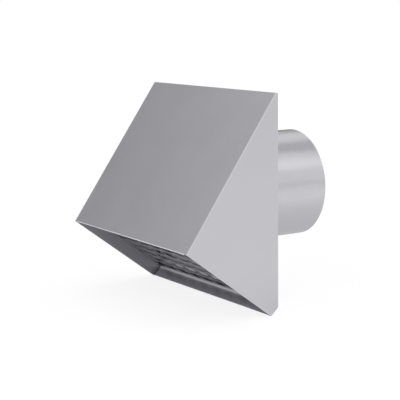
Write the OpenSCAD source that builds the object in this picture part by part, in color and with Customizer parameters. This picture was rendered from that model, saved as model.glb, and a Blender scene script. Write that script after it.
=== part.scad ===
// Wall vent terminal: a folded sheet hood on a back plate, with a duct spigot and a mesh guard.
// The origin is on the spigot's axis in the plane of the wall. +Y runs into the wall and +Z is up.

/* [Hood] */
// Width across the two cheeks
hood_width = 200; // [150:1:260]
// Height from the lowest edge to the top
hood_height = 190; // [170:1:230]
// Depth from the wall to the lip
hood_depth = 92; // [80:1:120]
// Height of the lip above the lowest edge
lip_height = 63; // [50:1:80]
// Distance of the lowest edge in front of the wall
foot_depth = 8; // [6:0.5:14]
// Height of the bevelled foot behind the lowest edge
foot_height = 7.5; // [5:0.5:12]
// Thickness of the galvanised sheet
sheet = 0.7; // [0.5:0.1:1]
// Inner radius of every fold
fold_radius = 0.6; // [0.4:0.1:1]
// Depth of the hem turned up inside the lip
hem_depth = 11; // [6:0.5:14]
// Slit inside the hem
hem_slit = 0.3; // [0.2:0.1:0.6]
// Notch between each end of the hem and the cheek
hem_notch = 3; // [1:0.5:6]
// Width of the flanges turned in along the wall
flange_width = 12; // [8:0.5:20]
// Slit at the mitre where two flanges meet
mitre_slit = 0.6; // [0.3:0.1:1]
// Height of the notch between the foot and a side flange
flange_notch = 3; // [1:0.5:8]

/* [Back plate] */
// Clearance between the plate's edges and the folds around it
plate_clearance = 0.3; // [0.1:0.1:1]

/* [Spigot] */
// Outer diameter of the spigot
spigot_diameter = 99; // [79:1:119]
// Length of the spigot behind the wall plane
spigot_length = 90; // [40:1:150]
// Height of the spigot's axis above the lowest edge
spigot_height = 96.5; // [85:0.5:110]
// Thickness of the spigot's wall
spigot_wall = 0.7; // [0.5:0.1:1]
// Width of the collar turned out on the back plate
collar_width = 5; // [3:0.5:8]
// Clearance between the plate's hole and the spigot's fold
hole_clearance = 0.1; // [0.1:0.1:0.5]

/* [Mesh guard] */
// Thickness of the guard's sheet
guard_sheet = 0.7; // [0.5:0.1:1]
// Distance between the middles of two openings in a row, across the hood
opening_pitch = 21; // [18:0.5:30]
// Distance between two rows of openings, down the slope
row_pitch = 13.5; // [9:0.5:16]
// Width of the bar between two openings in a row
bar_width = 2; // [1.5:0.1:4]
// Width of the band between two rows
band_width = 4.5; // [3:0.5:6]
// Width of the bare margin along the back plate, and the least one along the front panel
guard_margin = 3.5; // [2:0.5:8]
// Shift of the openings across the hood
guard_shift = -2.5; // [-10:0.5:10]
// Clearance between the guard and the hem that it rests on
guard_clearance = 0.1; // [0.1:0.1:0.5]

/* [Hidden] */
$fn = 96;
// How far a cutting shape runs past what it cuts
past = 30;
// Straight pieces in each small round of an outline
round_steps = 6;
// Length of the front panel that is drawn with the hem
hem_lap = 3;
// How far a side outline stands outside the front and wall faces, which only the folds give
proud = 0.05;

fold_outside = fold_radius + sheet;
// The top holds the plate's edge between the front panel and the flange
top_depth = 2 * fold_outside;
inner_width = hood_width - 2 * sheet;

lip = [-hood_depth, lip_height];
foot = [-foot_depth, 0];
heel = [0, foot_height];
top_front = [-top_depth, hood_height];
top_back = [0, hood_height];

// Both angles are measured from the hood's own upright and level
front_angle = atan2(hood_depth - top_depth, hood_height - lip_height);
mouth_angle = atan2(lip_height, hood_depth - foot_depth);
foot_angle = atan2(foot_depth, foot_height);
front_length = norm(top_front - lip);
mouth_length = norm(foot - lip);

hem_radius = sheet + hem_slit / 2;

plate_width = inner_width - 2 * (fold_radius + plate_clearance);
plate_top = hood_height - fold_outside - plate_clearance;
plate_front = -2 * sheet;
// Corner where the plate's rear face would meet the foot's bevel
plate_corner = [-sheet, foot_height * (1 - sheet / foot_depth)];
plate_tangent = fold_outside * tan(foot_angle / 2);

spigot_radius = spigot_diameter / 2;
spigot_fold_outside = fold_radius + spigot_wall;
collar_front = plate_front - spigot_wall;
hole_radius = spigot_radius + fold_radius + hole_clearance;

opening_length = opening_pitch - bar_width;
opening_height = row_pitch - band_width;
// Reach of the hem's free edge into the hood, measured from the mouth
hem_reach = hem_depth * cos(mouth_angle - front_angle) + 2 * hem_radius * sin(abs(mouth_angle - front_angle));
// Outer face of the guard, measured from the mouth, so that the guard rests on the hem
guard_recess = hem_reach + guard_clearance;
// Ends of the guard, measured down the mouth from the lip
guard_front = 2 * hem_radius;
guard_back = (hood_depth + plate_front - guard_recess * sin(mouth_angle)) / cos(mouth_angle);
// Middle of the row next to the back plate, and the number of rows that fit in front of it
first_row = guard_back - guard_margin - opening_height / 2;
guard_rows = 1 + floor((first_row - opening_height / 2 - guard_margin - guard_front) / row_pitch);

function unit(v) = v / norm(v);
function turned(v, angle) = [v.x * cos(angle) - v.y * sin(angle), v.x * sin(angle) + v.y * cos(angle)];

// Points of the round that replaces the corner b between a and c
function round_points(a, b, c, radius) =
    let (
        u = unit(a - b),
        v = unit(c - b),
        half = acos(u * v) / 2,
        centre = b + unit(u + v) * radius / sin(half),
        spoke = b + u * radius / tan(half) - centre,
        sweep = sign(cross(b - a, c - b)) * (180 - 2 * half)
    )
    [for (i = [0:round_steps]) centre + turned(spoke, sweep * i / round_steps)];

// Y of the front panel's inner face at height z
function front_inside(z) = -top_depth - (hood_height - z) * tan(front_angle) + sheet / cos(front_angle);

// Draws a side view outline as a solid across the hood's width
module across(width) {
    rotate([90, 0, 90])
        linear_extrude(width, center = true)
            children();
}

// Moves what is modelled up from the lowest edge to the spigot's axis
module from_foot() {
    translate([0, 0, -spigot_height])
        children();
}

// Frame on the lip: y runs in from the front panel and z runs up along it
module front_frame() {
    translate([0, lip.x, lip.y])
        rotate([-front_angle, 0, 0])
            children();
}

// Frame on the lip: y runs down along the mouth and z runs into the hood
module mouth_frame() {
    translate([0, lip.x, lip.y])
        rotate([-mouth_angle, 0, 0])
            children();
}

// Block of a given width whose two edges at y = 0 are rounded
module fold_block(width, radius) {
    for (side = [-1, 1])
        translate([side * (width / 2 - radius), radius])
            circle(radius);
    translate([radius - width / 2, 0])
        square([width - 2 * radius, hood_height]);
    translate([-width / 2, radius])
        square([width, hood_height]);
}

// Folded form: a side outline with rounded folds along the front panel and along the wall
module folded_form(inset, radius) {
    width = hood_width - 2 * inset;
    intersection() {
        across(width + past)
            children();
        front_frame()
            translate([0, inset, -past])
                linear_extrude(front_length + 2 * past)
                    fold_block(width, radius);
        translate([0, -inset, -past])
            linear_extrude(hood_height + 2 * past)
                mirror([0, 1])
                    fold_block(width, radius);
    }
}

// Section of a folded sheet, drawn along its outer face: flats, and folds that turn to the left
module sheet_section(flats, turns, thickness, radius, first = 0) {
    outside = radius + thickness;
    square([flats[first], thickness]);
    if (first < len(turns))
        translate([flats[first], outside]) {
            difference() {
                intersection() {
                    circle(outside);
                    polygon(concat([[0, 0]], [for (i = [0:4]) turned([0, -2 * outside], turns[first] * i / 4)]));
                }
                circle(radius);
            }
            rotate(turns[first])
                translate([0, -outside])
                    sheet_section(flats, turns, thickness, radius, first + 1);
        }
}

// The hood's outer faces, closed along the mouth and the foot
module outer_outline() {
    back_low = heel + unit(heel - foot) * proud;
    back_high = top_back + [proud, 0];
    front_high = top_front - [proud, 0];
    front_low = lip + unit(lip - foot) * proud;
    polygon(concat(
        [front_low, foot, back_low],
        round_points(back_low, back_high, front_high, fold_outside),
        round_points(back_high, front_high, front_low, fold_outside)
    ));
}

// The inside of the hood, open downwards past the mouth and the foot
module inner_outline() {
    back_low = [proud - sheet, -past];
    back_high = [proud - sheet, hood_height - sheet];
    front_high = [front_inside(hood_height - sheet) - proud, hood_height - sheet];
    front_low = [front_inside(-past) - proud, -past];
    polygon(concat(
        [front_low, back_low],
        round_points(back_low, back_high, front_high, fold_radius),
        round_points(back_high, front_high, front_low, fold_radius)
    ));
}

// Window between the three flanges, and the notches below the side flanges
module flange_cuts() {
    window = hood_width - 2 * flange_width;
    front = -2 * sheet;
    depth = sheet - front;
    translate([-window / 2, front, -past])
        cube([window, depth, hood_height - flange_width + past]);
    translate([-inner_width / 2, front, -past])
        cube([inner_width, depth, foot_height + flange_notch + past]);
    for (side = [-1, 1])
        translate([side * (hood_width / 2 - flange_width), 0, hood_height - flange_width])
            rotate([0, -45 * side, 0])
                translate([-mitre_slit / 2, front, -mitre_slit])
                    cube([mitre_slit, depth, (flange_width - fold_outside) * sqrt(2) + mitre_slit]);
}

// The hood's sheet is cut away over the hem's length, and the hem with its lap fills the place
module hood() {
    hem_width = inner_width - 2 * hem_notch;
    cut_depth = hem_radius + sheet;
    color([0.60, 0.60, 0.62])
        from_foot() {
            difference() {
                folded_form(0, fold_outside)
                    outer_outline();
                folded_form(sheet, fold_radius)
                    inner_outline();
                flange_cuts();
                front_frame()
                    across(hem_width)
                        translate([-sheet, -past])
                            square([sheet + cut_depth, past + hem_radius + hem_lap]);
            }
            front_frame()
                across(hem_width)
                    translate([2 * hem_radius, hem_depth])
                        mirror([1, 1])
                            sheet_section([hem_depth - hem_radius, hem_lap], [180], sheet, hem_slit / 2);
        }
}

module back_plate() {
    upright = plate_top - plate_corner.y - plate_tangent;
    strip = norm(plate_corner - foot) - plate_tangent;
    color([0.52, 0.52, 0.55])
        from_foot()
            difference() {
                across(plate_width)
                    translate([-sheet, plate_top])
                        mirror([1, 1])
                            sheet_section([upright, strip], [foot_angle], sheet, fold_radius);
                translate([0, past, spigot_height])
                    rotate([90, 0, 0])
                        cylinder(h = 2 * past, r = hole_radius);
            }
}

// Rolled tube with its front end turned out over the plate
module spigot() {
    collar_flat = collar_width - fold_radius;
    tube_flat = spigot_length - collar_front - spigot_fold_outside;
    color([0.68, 0.68, 0.70])
        rotate([-90, 0, 0])
            rotate_extrude()
                translate([spigot_radius + collar_width, collar_front])
                    mirror([1, 0])
                        sheet_section([collar_flat, tube_flat], [90], spigot_wall, fold_radius);
}

// One opening of the guard: a slot with round ends
module guard_opening() {
    radius = opening_height / 2;
    for (side = [-1, 1])
        translate([side * (opening_length / 2 - radius), 0])
            circle(radius);
    square([opening_length - 2 * radius, opening_height], center = true);
}

// Flat sheet with rows of openings, where every second row is moved across by half a pitch.
// Only whole openings are cut, with at least a bar's width left beside the cheeks.
module perforated_sheet() {
    reach = ceil(inner_width / 2 / opening_pitch);
    difference() {
        translate([-hood_width / 2, -past])
            square([hood_width, mouth_length + 2 * past]);
        for (row = [0:guard_rows - 1], place = [-reach:reach]) {
            middle = guard_shift + (place + (row % 2) / 2) * opening_pitch;
            if (abs(middle) + opening_length / 2 + bar_width < inner_width / 2)
                translate([middle, first_row - row * row_pitch])
                    guard_opening();
        }
    }
}

// The guard fills the mouth: its edges follow the hood's inside and the back plate
module mesh_guard() {
    color([0.45, 0.45, 0.47])
        from_foot()
            intersection() {
                mouth_frame()
                    translate([0, 0, guard_recess])
                        linear_extrude(guard_sheet)
                            perforated_sheet();
                folded_form(sheet, fold_radius)
                    inner_outline();
                translate([-hood_width / 2, plate_front - 2 * hood_depth, 0])
                    cube([hood_width, 2 * hood_depth, hood_height]);
            }
}

hood();
back_plate();
spigot();
mesh_guard();
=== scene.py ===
# %% [markdown]
# # Wall vent terminal
# A wall vent terminal ends a kitchen or boiler duct on an outside wall. This one is a hood folded
# from galvanised sheet steel. A short tube behind it, the spigot, goes into the duct.
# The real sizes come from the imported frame, so every piece already stands in its place, in metres.

# %% Load the frame
import math

import bpy
from mathutils import Matrix, Vector


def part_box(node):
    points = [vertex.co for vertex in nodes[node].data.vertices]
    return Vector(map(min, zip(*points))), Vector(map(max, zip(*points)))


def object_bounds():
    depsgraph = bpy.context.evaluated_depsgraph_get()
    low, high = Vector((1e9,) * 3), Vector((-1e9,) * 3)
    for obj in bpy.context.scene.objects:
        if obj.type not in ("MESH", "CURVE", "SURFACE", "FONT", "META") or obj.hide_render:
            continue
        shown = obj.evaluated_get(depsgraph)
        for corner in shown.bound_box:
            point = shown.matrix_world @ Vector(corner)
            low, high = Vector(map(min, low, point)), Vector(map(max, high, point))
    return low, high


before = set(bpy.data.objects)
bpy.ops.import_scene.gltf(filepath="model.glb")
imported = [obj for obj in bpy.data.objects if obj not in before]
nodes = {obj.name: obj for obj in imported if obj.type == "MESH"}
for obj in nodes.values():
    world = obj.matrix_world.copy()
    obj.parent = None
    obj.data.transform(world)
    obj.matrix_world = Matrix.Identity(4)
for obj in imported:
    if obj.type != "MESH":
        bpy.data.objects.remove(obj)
cad_box = [list(corner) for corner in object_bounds()]
print("CAD box:", cad_box)

# %% [markdown]
# ## Camera
# The product was photographed from its right side, a little above the spigot's axis, with a long lens.
# One could turn the camera by hand until the outline fits. Here its place was worked out from the
# corners of the hood, whose real sizes are known, and the small roll straightens the picture.

# %% Camera
LENS_LENGTH = 0.1091
SENSOR_WIDTH = 0.036
CAMERA_AZIMUTH = math.radians(57.55)
CAMERA_ELEVATION = math.radians(9.03)
CAMERA_ROLL = math.radians(-0.64)
CAMERA_PLACE = Vector((0.9163, -0.5977, 0.1644))
MM_PER_METRE = 1000

camera_data = bpy.data.cameras.new("camera")
camera_data.lens = LENS_LENGTH * MM_PER_METRE
camera_data.sensor_width = SENSOR_WIDTH * MM_PER_METRE
camera_data.clip_start = 0.01
camera = bpy.data.objects.new("camera", camera_data)
bpy.context.scene.collection.objects.link(camera)
aim = Matrix.Rotation(CAMERA_AZIMUTH, 4, "Z") @ Matrix.Rotation(math.pi / 2 - CAMERA_ELEVATION, 4, "X")
camera.matrix_world = Matrix.Translation(CAMERA_PLACE) @ aim @ Matrix.Rotation(CAMERA_ROLL, 4, "Z")
bpy.context.scene.camera = camera
bpy.context.scene.view_settings.view_transform = "Standard"
print("camera stands", round(CAMERA_PLACE.length, 3), "m from the spigot's axis")

# %% [markdown]
# ## Shader sums
# A material is a graph of nodes. Drawing it by hand is slow to read in a script, so this small class
# wraps a socket: sums and products of wires add their Math nodes, and one method adds any other node.

# %% Wire class
class Wire:
    """An output socket in a node tree. Arithmetic on it adds Math nodes."""

    def __init__(self, tree, socket=None):
        self.tree = tree
        self.socket = socket

    def node(self, kind, settings=None, inputs=None, output=0):
        """Adds a node: its settings first, then the values or links of its sockets."""
        made = self.tree.nodes.new(kind)
        for name, value in (settings or {}).items():
            if name == "stops":
                self.set_stops(made.color_ramp, value)
            else:
                setattr(made, name, value)
        for key, value in (inputs or {}).items():
            if isinstance(value, Wire):
                self.tree.links.new(value.socket, made.inputs[key])
            else:
                made.inputs[key].default_value = value
        return Wire(self.tree, made.outputs[output])

    @staticmethod
    def set_stops(ramp, stops):
        while len(ramp.elements) < len(stops):
            ramp.elements.new(1)
        for element, (place, level) in zip(ramp.elements, stops):
            element.position = place
            element.color = (level, level, level, 1)

    def sums(self, operation, first, second):
        return self.node("ShaderNodeMath", {"operation": operation}, {0: first, 1: second})

    def feed(self, socket):
        """Links this wire to an input socket of a node that is already there."""
        self.tree.links.new(self.socket, socket)

    def __add__(self, other):
        return self.sums("ADD", self, other)

    def __radd__(self, other):
        return self.sums("ADD", other, self)

    def __sub__(self, other):
        return self.sums("SUBTRACT", self, other)

    def __rsub__(self, other):
        return self.sums("SUBTRACT", other, self)

    def __mul__(self, other):
        return self.sums("MULTIPLY", self, other)

    def __rmul__(self, other):
        return self.sums("MULTIPLY", other, self)


# %% [markdown]
# ## Galvanised sheet
# Galvanised steel is dipped in zinc and then rolled smooth. Close up it has three marks: soft pale and
# dark blotches where the zinc froze, a mottle of tiny pits, and a fine grain from the rolls. Each is a
# noise at its own real size. All three vary the colour a little, and the pits and the grain also give
# the bump its height. A photograph wrapped round the sheet would do the same, but noises have no seams
# and keep their real size on every piece.

# %% Noises of the sheet
MICRON = 0.000001
BLOTCH_SIZE = 0.035
PIT_SIZE = 0.006
SWELL_SIZE = 0.02
GRAIN_SIZE = 0.0004
GRAIN_STRETCH = 18


def noise(start, place, size, detail):
    """A noise around 0, between -0.5 and 0.5, whose patches are about as wide as size, in metres."""
    inputs = {"Vector": place, "Scale": 1 / size, "Detail": detail}
    return start.node("ShaderNodeTexNoise", {}, inputs) - 0.5


def rolling_grain(start, place, turn):
    """The grain that the rolls leave: a fine noise drawn out along the X axis, after a turn."""
    squeeze = {"Vector": place, "Rotation": turn, "Scale": (1 / GRAIN_STRETCH, 1, 1)}
    return noise(start, start.node("ShaderNodeMapping", {}, squeeze), GRAIN_SIZE, 1)


def as_grey(start, value):
    """A vector whose three parts are the same value, for sums on colours."""
    return start.node("ShaderNodeCombineXYZ", {}, {"X": value, "Y": value, "Z": value})


# %% Sheet metal finish
ZINC = (0.546, 0.540, 0.573)
PIT_SHADE = 0.6
GRAIN_SHADE = 0.5
DULL_BLOTCH = 0.08
DULL_PIT = 0.05
GRAIN_DEPTH = 0.67


def sheet_metal(
    name, brightness, roughness, grain_turn, blotch=0.05, pit_depth=3 * MICRON, swell=0, marks=None
):
    """Galvanised sheet. The depths are in metres, and marks gives a shade for what only one piece has."""
    tint = tuple(part * brightness for part in ZINC)
    material = bpy.data.materials.new(name)
    material.use_nodes = True
    shader = material.node_tree.nodes["Principled BSDF"]
    shader.inputs["Metallic"].default_value = 1
    start = Wire(material.node_tree)
    place = start.node("ShaderNodeTexCoord", {}, {}, "Object")
    blotches = noise(start, place, BLOTCH_SIZE, 3)
    pits = noise(start, place, PIT_SIZE, 2)
    grain = rolling_grain(start, place, grain_turn)

    shade = 1 + (blotches + pits * PIT_SHADE + grain * GRAIN_SHADE) * blotch
    if marks:
        shade = shade * marks(start, place)
    colour = {0: tint, 1: as_grey(start, shade)}
    start.node("ShaderNodeVectorMath", {"operation": "MULTIPLY"}, colour).feed(shader.inputs["Base Color"])
    dullness = roughness + blotches * DULL_BLOTCH + pits * DULL_PIT
    dullness.feed(shader.inputs["Roughness"])

    height = (pits + grain * GRAIN_DEPTH) * pit_depth
    if swell:
        height = height + noise(start, place, SWELL_SIZE, 1) * swell
    relief = {"Height": height, "Distance": 1}
    start.node("ShaderNodeBump", {}, relief).feed(shader.inputs["Normal"])
    return material


# %% [markdown]
# ## What each piece has of its own
# The hood is a little rougher than the plate behind it, and the plate's zinc colour is brighter: painted
# light that lifts the plate in the shade inside the hood. The tube is the smoothest, but its wall swells a
# little where it was rolled round, and that breaks its long highlights. The guard is punched, which leaves
# it the most uneven, and its darker zinc colour is painted shade for the dim light at the mouth. The plate
# ends in a narrow joint with the hood's cheeks. There the plate's material darkens by the distance from
# the middle plane: painted shade for the shadow in that narrow gap.

# %% Dress the pieces
UPRIGHT = (0, math.pi / 2, 0)
LEVEL = (0, 0, 0)
JOINT_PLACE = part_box("back_plate")[1][0]
JOINT_WIDTH = 0.0016
JOINT_BLUR = 0.001
JOINT_SHADE = 0.07


# Painted shade: the plate darkens in its side joints, where the gap to the cheeks lies in shadow.
def painted_joint_shade(start, place):
    """1 on the plate and dark in its two side joints: painted shade for the shadow in those narrow gaps."""
    across = start.node("ShaderNodeSeparateXYZ", {}, {"Vector": place}, "X")
    aside = start.node("ShaderNodeMath", {"operation": "ABSOLUTE"}, {0: across})
    shaded_from = JOINT_PLACE - JOINT_WIDTH
    stretch = {"Value": aside, "From Min": shaded_from - JOINT_BLUR, "From Max": shaded_from}
    return start.node("ShaderNodeMapRange", {}, {**stretch, "To Min": 1, "To Max": JOINT_SHADE})


finish = {
    "hood": sheet_metal("hood_steel", brightness=1, roughness=0.36, grain_turn=UPRIGHT),
    "back_plate": sheet_metal(
        "plate_steel",
        # Brighter zinc colour: painted light that lifts the plate in the shade inside the hood.
        brightness=1.3,
        roughness=0.35,
        grain_turn=LEVEL,
        pit_depth=12 * MICRON,
        # painted shade in the two side joints
        marks=painted_joint_shade,
    ),
    "spigot": sheet_metal("spigot_steel", brightness=1, roughness=0.24, grain_turn=LEVEL, swell=375 * MICRON),
    "mesh_guard": sheet_metal(
        "guard_steel",
        # Darker zinc colour: painted shade for the dim light at the hood's mouth.
        brightness=0.65,
        roughness=0.3,
        grain_turn=LEVEL,
        blotch=0.12,
        pit_depth=60 * MICRON,
    ),
}
for name, material in finish.items():
    mesh = nodes[name].data
    mesh.materials.clear()
    mesh.materials.append(material)
    print(name, "has", len(mesh.polygons), "faces and the finish", material.name)

# %% [markdown]
# ## White room
# Metal has almost no colour of its own: it shows the room. The room here is white paper all round.
# The camera and the reflections see it at full strength, and the light that it gives is plain.

# %% White room
ROOM_LIGHT = 0.5


def ray_kind(start, name):
    """1 where the surface is seen by this kind of ray, and 0 elsewhere."""
    return start.node("ShaderNodeLightPath", {}, {}, f"Is {name} Ray")


def seen_ray(start):
    """1 for what the camera, a reflection or clear glass sees, and 0 for what only gives light."""
    mirror = start.sums("MAXIMUM", ray_kind(start, "Glossy"), ray_kind(start, "Transmission"))
    return start.sums("MAXIMUM", ray_kind(start, "Camera"), mirror)


world = bpy.data.worlds.new("white_room")
bpy.context.scene.world = world
world.use_nodes = True
background = world.node_tree.nodes["Background"]
background.inputs["Color"].default_value = (1, 1, 1, 1)
room = Wire(world.node_tree)
(seen_ray(room) * (1 - ROOM_LIGHT) + ROOM_LIGHT).feed(background.inputs["Strength"])
print("the room gives", ROOM_LIGHT, "of the light that it shows")

# %% [markdown]
# ## Floor
# The floor is paper too. Part of its brightness is its own glow, so that it stays white to the camera.
# The rest is real light, so that the object keeps a soft shadow, and a darker floor in its reflections.
# The camera sees through the floor's underside, so that the mouth can also be looked at from below.

# %% Floor
PAPER_WHITE = 0.8
FLOOR_SHADE = 0.35
CAMERA_GLOW = 0.83
MIRROR_GLOW = 0.62
FLOOR_SIZE = 40

floor_level = cad_box[0][2]
bpy.ops.object.select_all(action="DESELECT")
bpy.ops.mesh.primitive_plane_add(size=FLOOR_SIZE, location=(0, 0, floor_level))
floor = bpy.context.object
floor.name = "floor"
paper = bpy.data.materials.new("floor_paper")
paper.use_nodes = True
leaf = Wire(paper.node_tree)


def matt(level):
    return leaf.node("ShaderNodeBsdfDiffuse", {}, {"Color": (level, level, level, 1)})


def mixed(factor, first, second):
    return leaf.node("ShaderNodeMixShader", {}, {0: factor, 1: first, 2: second})


to_camera = ray_kind(leaf, "Camera")
glow = to_camera * (CAMERA_GLOW - MIRROR_GLOW) + MIRROR_GLOW
light = leaf.node("ShaderNodeEmission", {}, {"Strength": glow})
shaded = mixed(to_camera, matt(PAPER_WHITE), matt(FLOOR_SHADE))
seen = leaf.node("ShaderNodeAddShader", {}, {0: shaded, 1: light})
top_side = mixed(seen_ray(leaf), matt(PAPER_WHITE), seen)
underside = leaf.node("ShaderNodeNewGeometry", {}, {}, "Backfacing") * to_camera
whole = mixed(underside, top_side, leaf.node("ShaderNodeBsdfTransparent"))
whole.feed(paper.node_tree.nodes["Material Output"].inputs["Surface"])
floor.data.materials.append(paper)
print("floor at", round(floor_level, 4))

# %% [markdown]
# ## Cards and soft boxes
# A photographer shapes a metal surface with what it reflects: a card darkens it, and a lamp behind a
# cloth brightens it. To place one, follow a line from the camera to the surface and on to where it
# bounces. The cards here are seen by reflections only, so they throw no shadow and give no light.

# %% Card and lamp helpers
BRIGHTEST_CARD = 2


def away(azimuth, elevation):
    """Unit vector from the hood. Azimuth 0 is in front of it, and 90 is on its right."""
    azimuth = math.radians(azimuth)
    elevation = math.radians(elevation)
    level = Vector((math.sin(azimuth), -math.cos(azimuth), 0))
    return level * math.cos(elevation) + Vector((0, 0, math.sin(elevation)))


def facing(direction):
    """The turn of a flat thing that faces a direction."""
    return direction.to_track_quat("Z", "Y").to_euler()


def card_paint(name, level, slope):
    """A glow whose brightness is level plus slope times the place."""
    paint = bpy.data.materials.new(name)
    paint.use_nodes = True
    wire = Wire(paint.node_tree)
    place = wire.node("ShaderNodeTexCoord", {}, {}, "Object")
    along = wire.node("ShaderNodeVectorMath", {"operation": "DOT_PRODUCT"}, {0: place, 1: slope}, "Value")
    share = (along + level) * (1 / BRIGHTEST_CARD)
    dark = wire.node("ShaderNodeEmission", {}, {"Strength": 0})
    bright = wire.node("ShaderNodeEmission", {}, {"Strength": BRIGHTEST_CARD})
    face = wire.node("ShaderNodeMixShader", {}, {0: share, 1: dark, 2: bright})
    face.feed(paint.node_tree.nodes["Material Output"].inputs["Surface"])
    return paint


def card(name, middle, turn, size, level, slope=(0, 0, 0)):
    """A flat card that only reflections see."""
    bpy.ops.object.select_all(action="DESELECT")
    bpy.ops.mesh.primitive_plane_add(size=1, location=middle, rotation=turn)
    made = bpy.context.object
    made.name = name
    made.scale = (size[0], size[1], 1)
    bpy.ops.object.transform_apply(location=True, rotation=True, scale=True)
    made.visible_camera = False
    made.visible_shadow = False
    made.visible_diffuse = False
    made.data.materials.append(card_paint(name, level, slope))
    print(name, "is", round(size[0], 3), "by", round(size[1], 3), "m")
    return made


def softbox(name, azimuth, elevation, distance, size, radiance):
    """An area lamp that faces the hood, with the given radiance all over its face."""
    direction = away(azimuth, elevation)
    data = bpy.data.lights.new(name, "AREA")
    data.shape = "RECTANGLE"
    data.size, data.size_y = size
    data.energy = radiance * math.pi * size[0] * size[1]
    lamp = bpy.data.objects.new(name, data)
    bpy.context.scene.collection.objects.link(lamp)
    lamp.location = direction * distance
    lamp.rotation_euler = facing(direction)
    print(name, "gives", round(data.energy, 3), "W")
    return lamp


# %% [markdown]
# ## Around the hood
# A large card on the left, brighter towards its top, grades the sloping front. A lower one behind it
# does the same for the tube's top edge. A grey card above draws the dark line along the tube, and a low
# strip draws the faint one at its middle. One soft box brightens the tube above its dark line, and the
# other draws the bright fold of the hood.

# %% Cards and soft boxes around the hood
LEFT_SIDE = -0.5
FRONT_CARD_DEPTH = (-0.75, 0.2)
BACK_CARD_DEPTH = (0.2, 0.7)


def left_card(name, depth, top, level, slope):
    """A card that stands on the floor at the left, from one depth to another."""
    middle = (LEFT_SIDE, sum(depth) / 2, (floor_level + top) / 2)
    return card(name, middle, UPRIGHT, (top - floor_level, depth[1] - depth[0]), level, slope)


left_card("left_card", FRONT_CARD_DEPTH, top=0.9, level=0.258, slope=(0, -0.45, 0.58))
left_card("far_card", BACK_CARD_DEPTH, top=0.57, level=0.06, slope=(0, 0, 1.6))


def facing_card(name, azimuth, elevation, distance, size, level):
    """A card that faces the hood from a direction. Its size is its width and its height."""
    direction = away(azimuth, elevation)
    return card(name, direction * distance, facing(direction), size, level)


facing_card("top_card", azimuth=177, elevation=53, distance=0.8, size=(0.31, 0.5), level=0.68)
facing_card("low_card", azimuth=126, elevation=2, distance=1.3, size=(1.2, 0.16), level=0.85)
softbox("right_box", azimuth=135, elevation=37, distance=1.2, size=(0.36, 0.4), radiance=0.26)
softbox("fold_box", azimuth=42, elevation=36, distance=1.2, size=(0.5, 0.5), radiance=0.5)

# %% [markdown]
# ## On the floor
# What faces down mirrors the floor. A dark card under the mouth keeps the plate and the cheeks dim behind
# the guard. A bright one in front of it draws the thin line along the lip's hem. A grey one under the tube
# shades its lower half and fades into the floor on the right. A small black one is seen in the joint
# between the plate and the left cheek, as painted shade for the shadow in that gap.

# %% Cards on the floor
CARD_LIFT = 0.0008
WALL_EDGE = -0.002


def floor_card(name, sides, fronts, level, slope=(0, 0, 0)):
    """A card that lies on the floor between two sides and two fronts."""
    middle = (sum(sides) / 2, sum(fronts) / 2, floor_level + CARD_LIFT)
    return card(name, middle, LEVEL, (sides[1] - sides[0], fronts[1] - fronts[0]), level, slope)


floor_card("mouth_card", sides=(-0.35, 0.07), fronts=(-0.11, WALL_EDGE), level=0.4, slope=(0.7, 0, 0))
floor_card("hem_card", sides=(-0.5, 0.05), fronts=(-0.36, -0.12), level=1.85)
floor_card("tail_card", sides=(-0.08, 0.25), fronts=(WALL_EDGE, 0.3), level=0.74, slope=(1.5, 0, 0))
# Painted shade: a black card that the left joint mirrors, for the shadow in that gap.
floor_card("joint_card", sides=(-0.095, -0.08), fronts=(WALL_EDGE, 0.02), level=0)
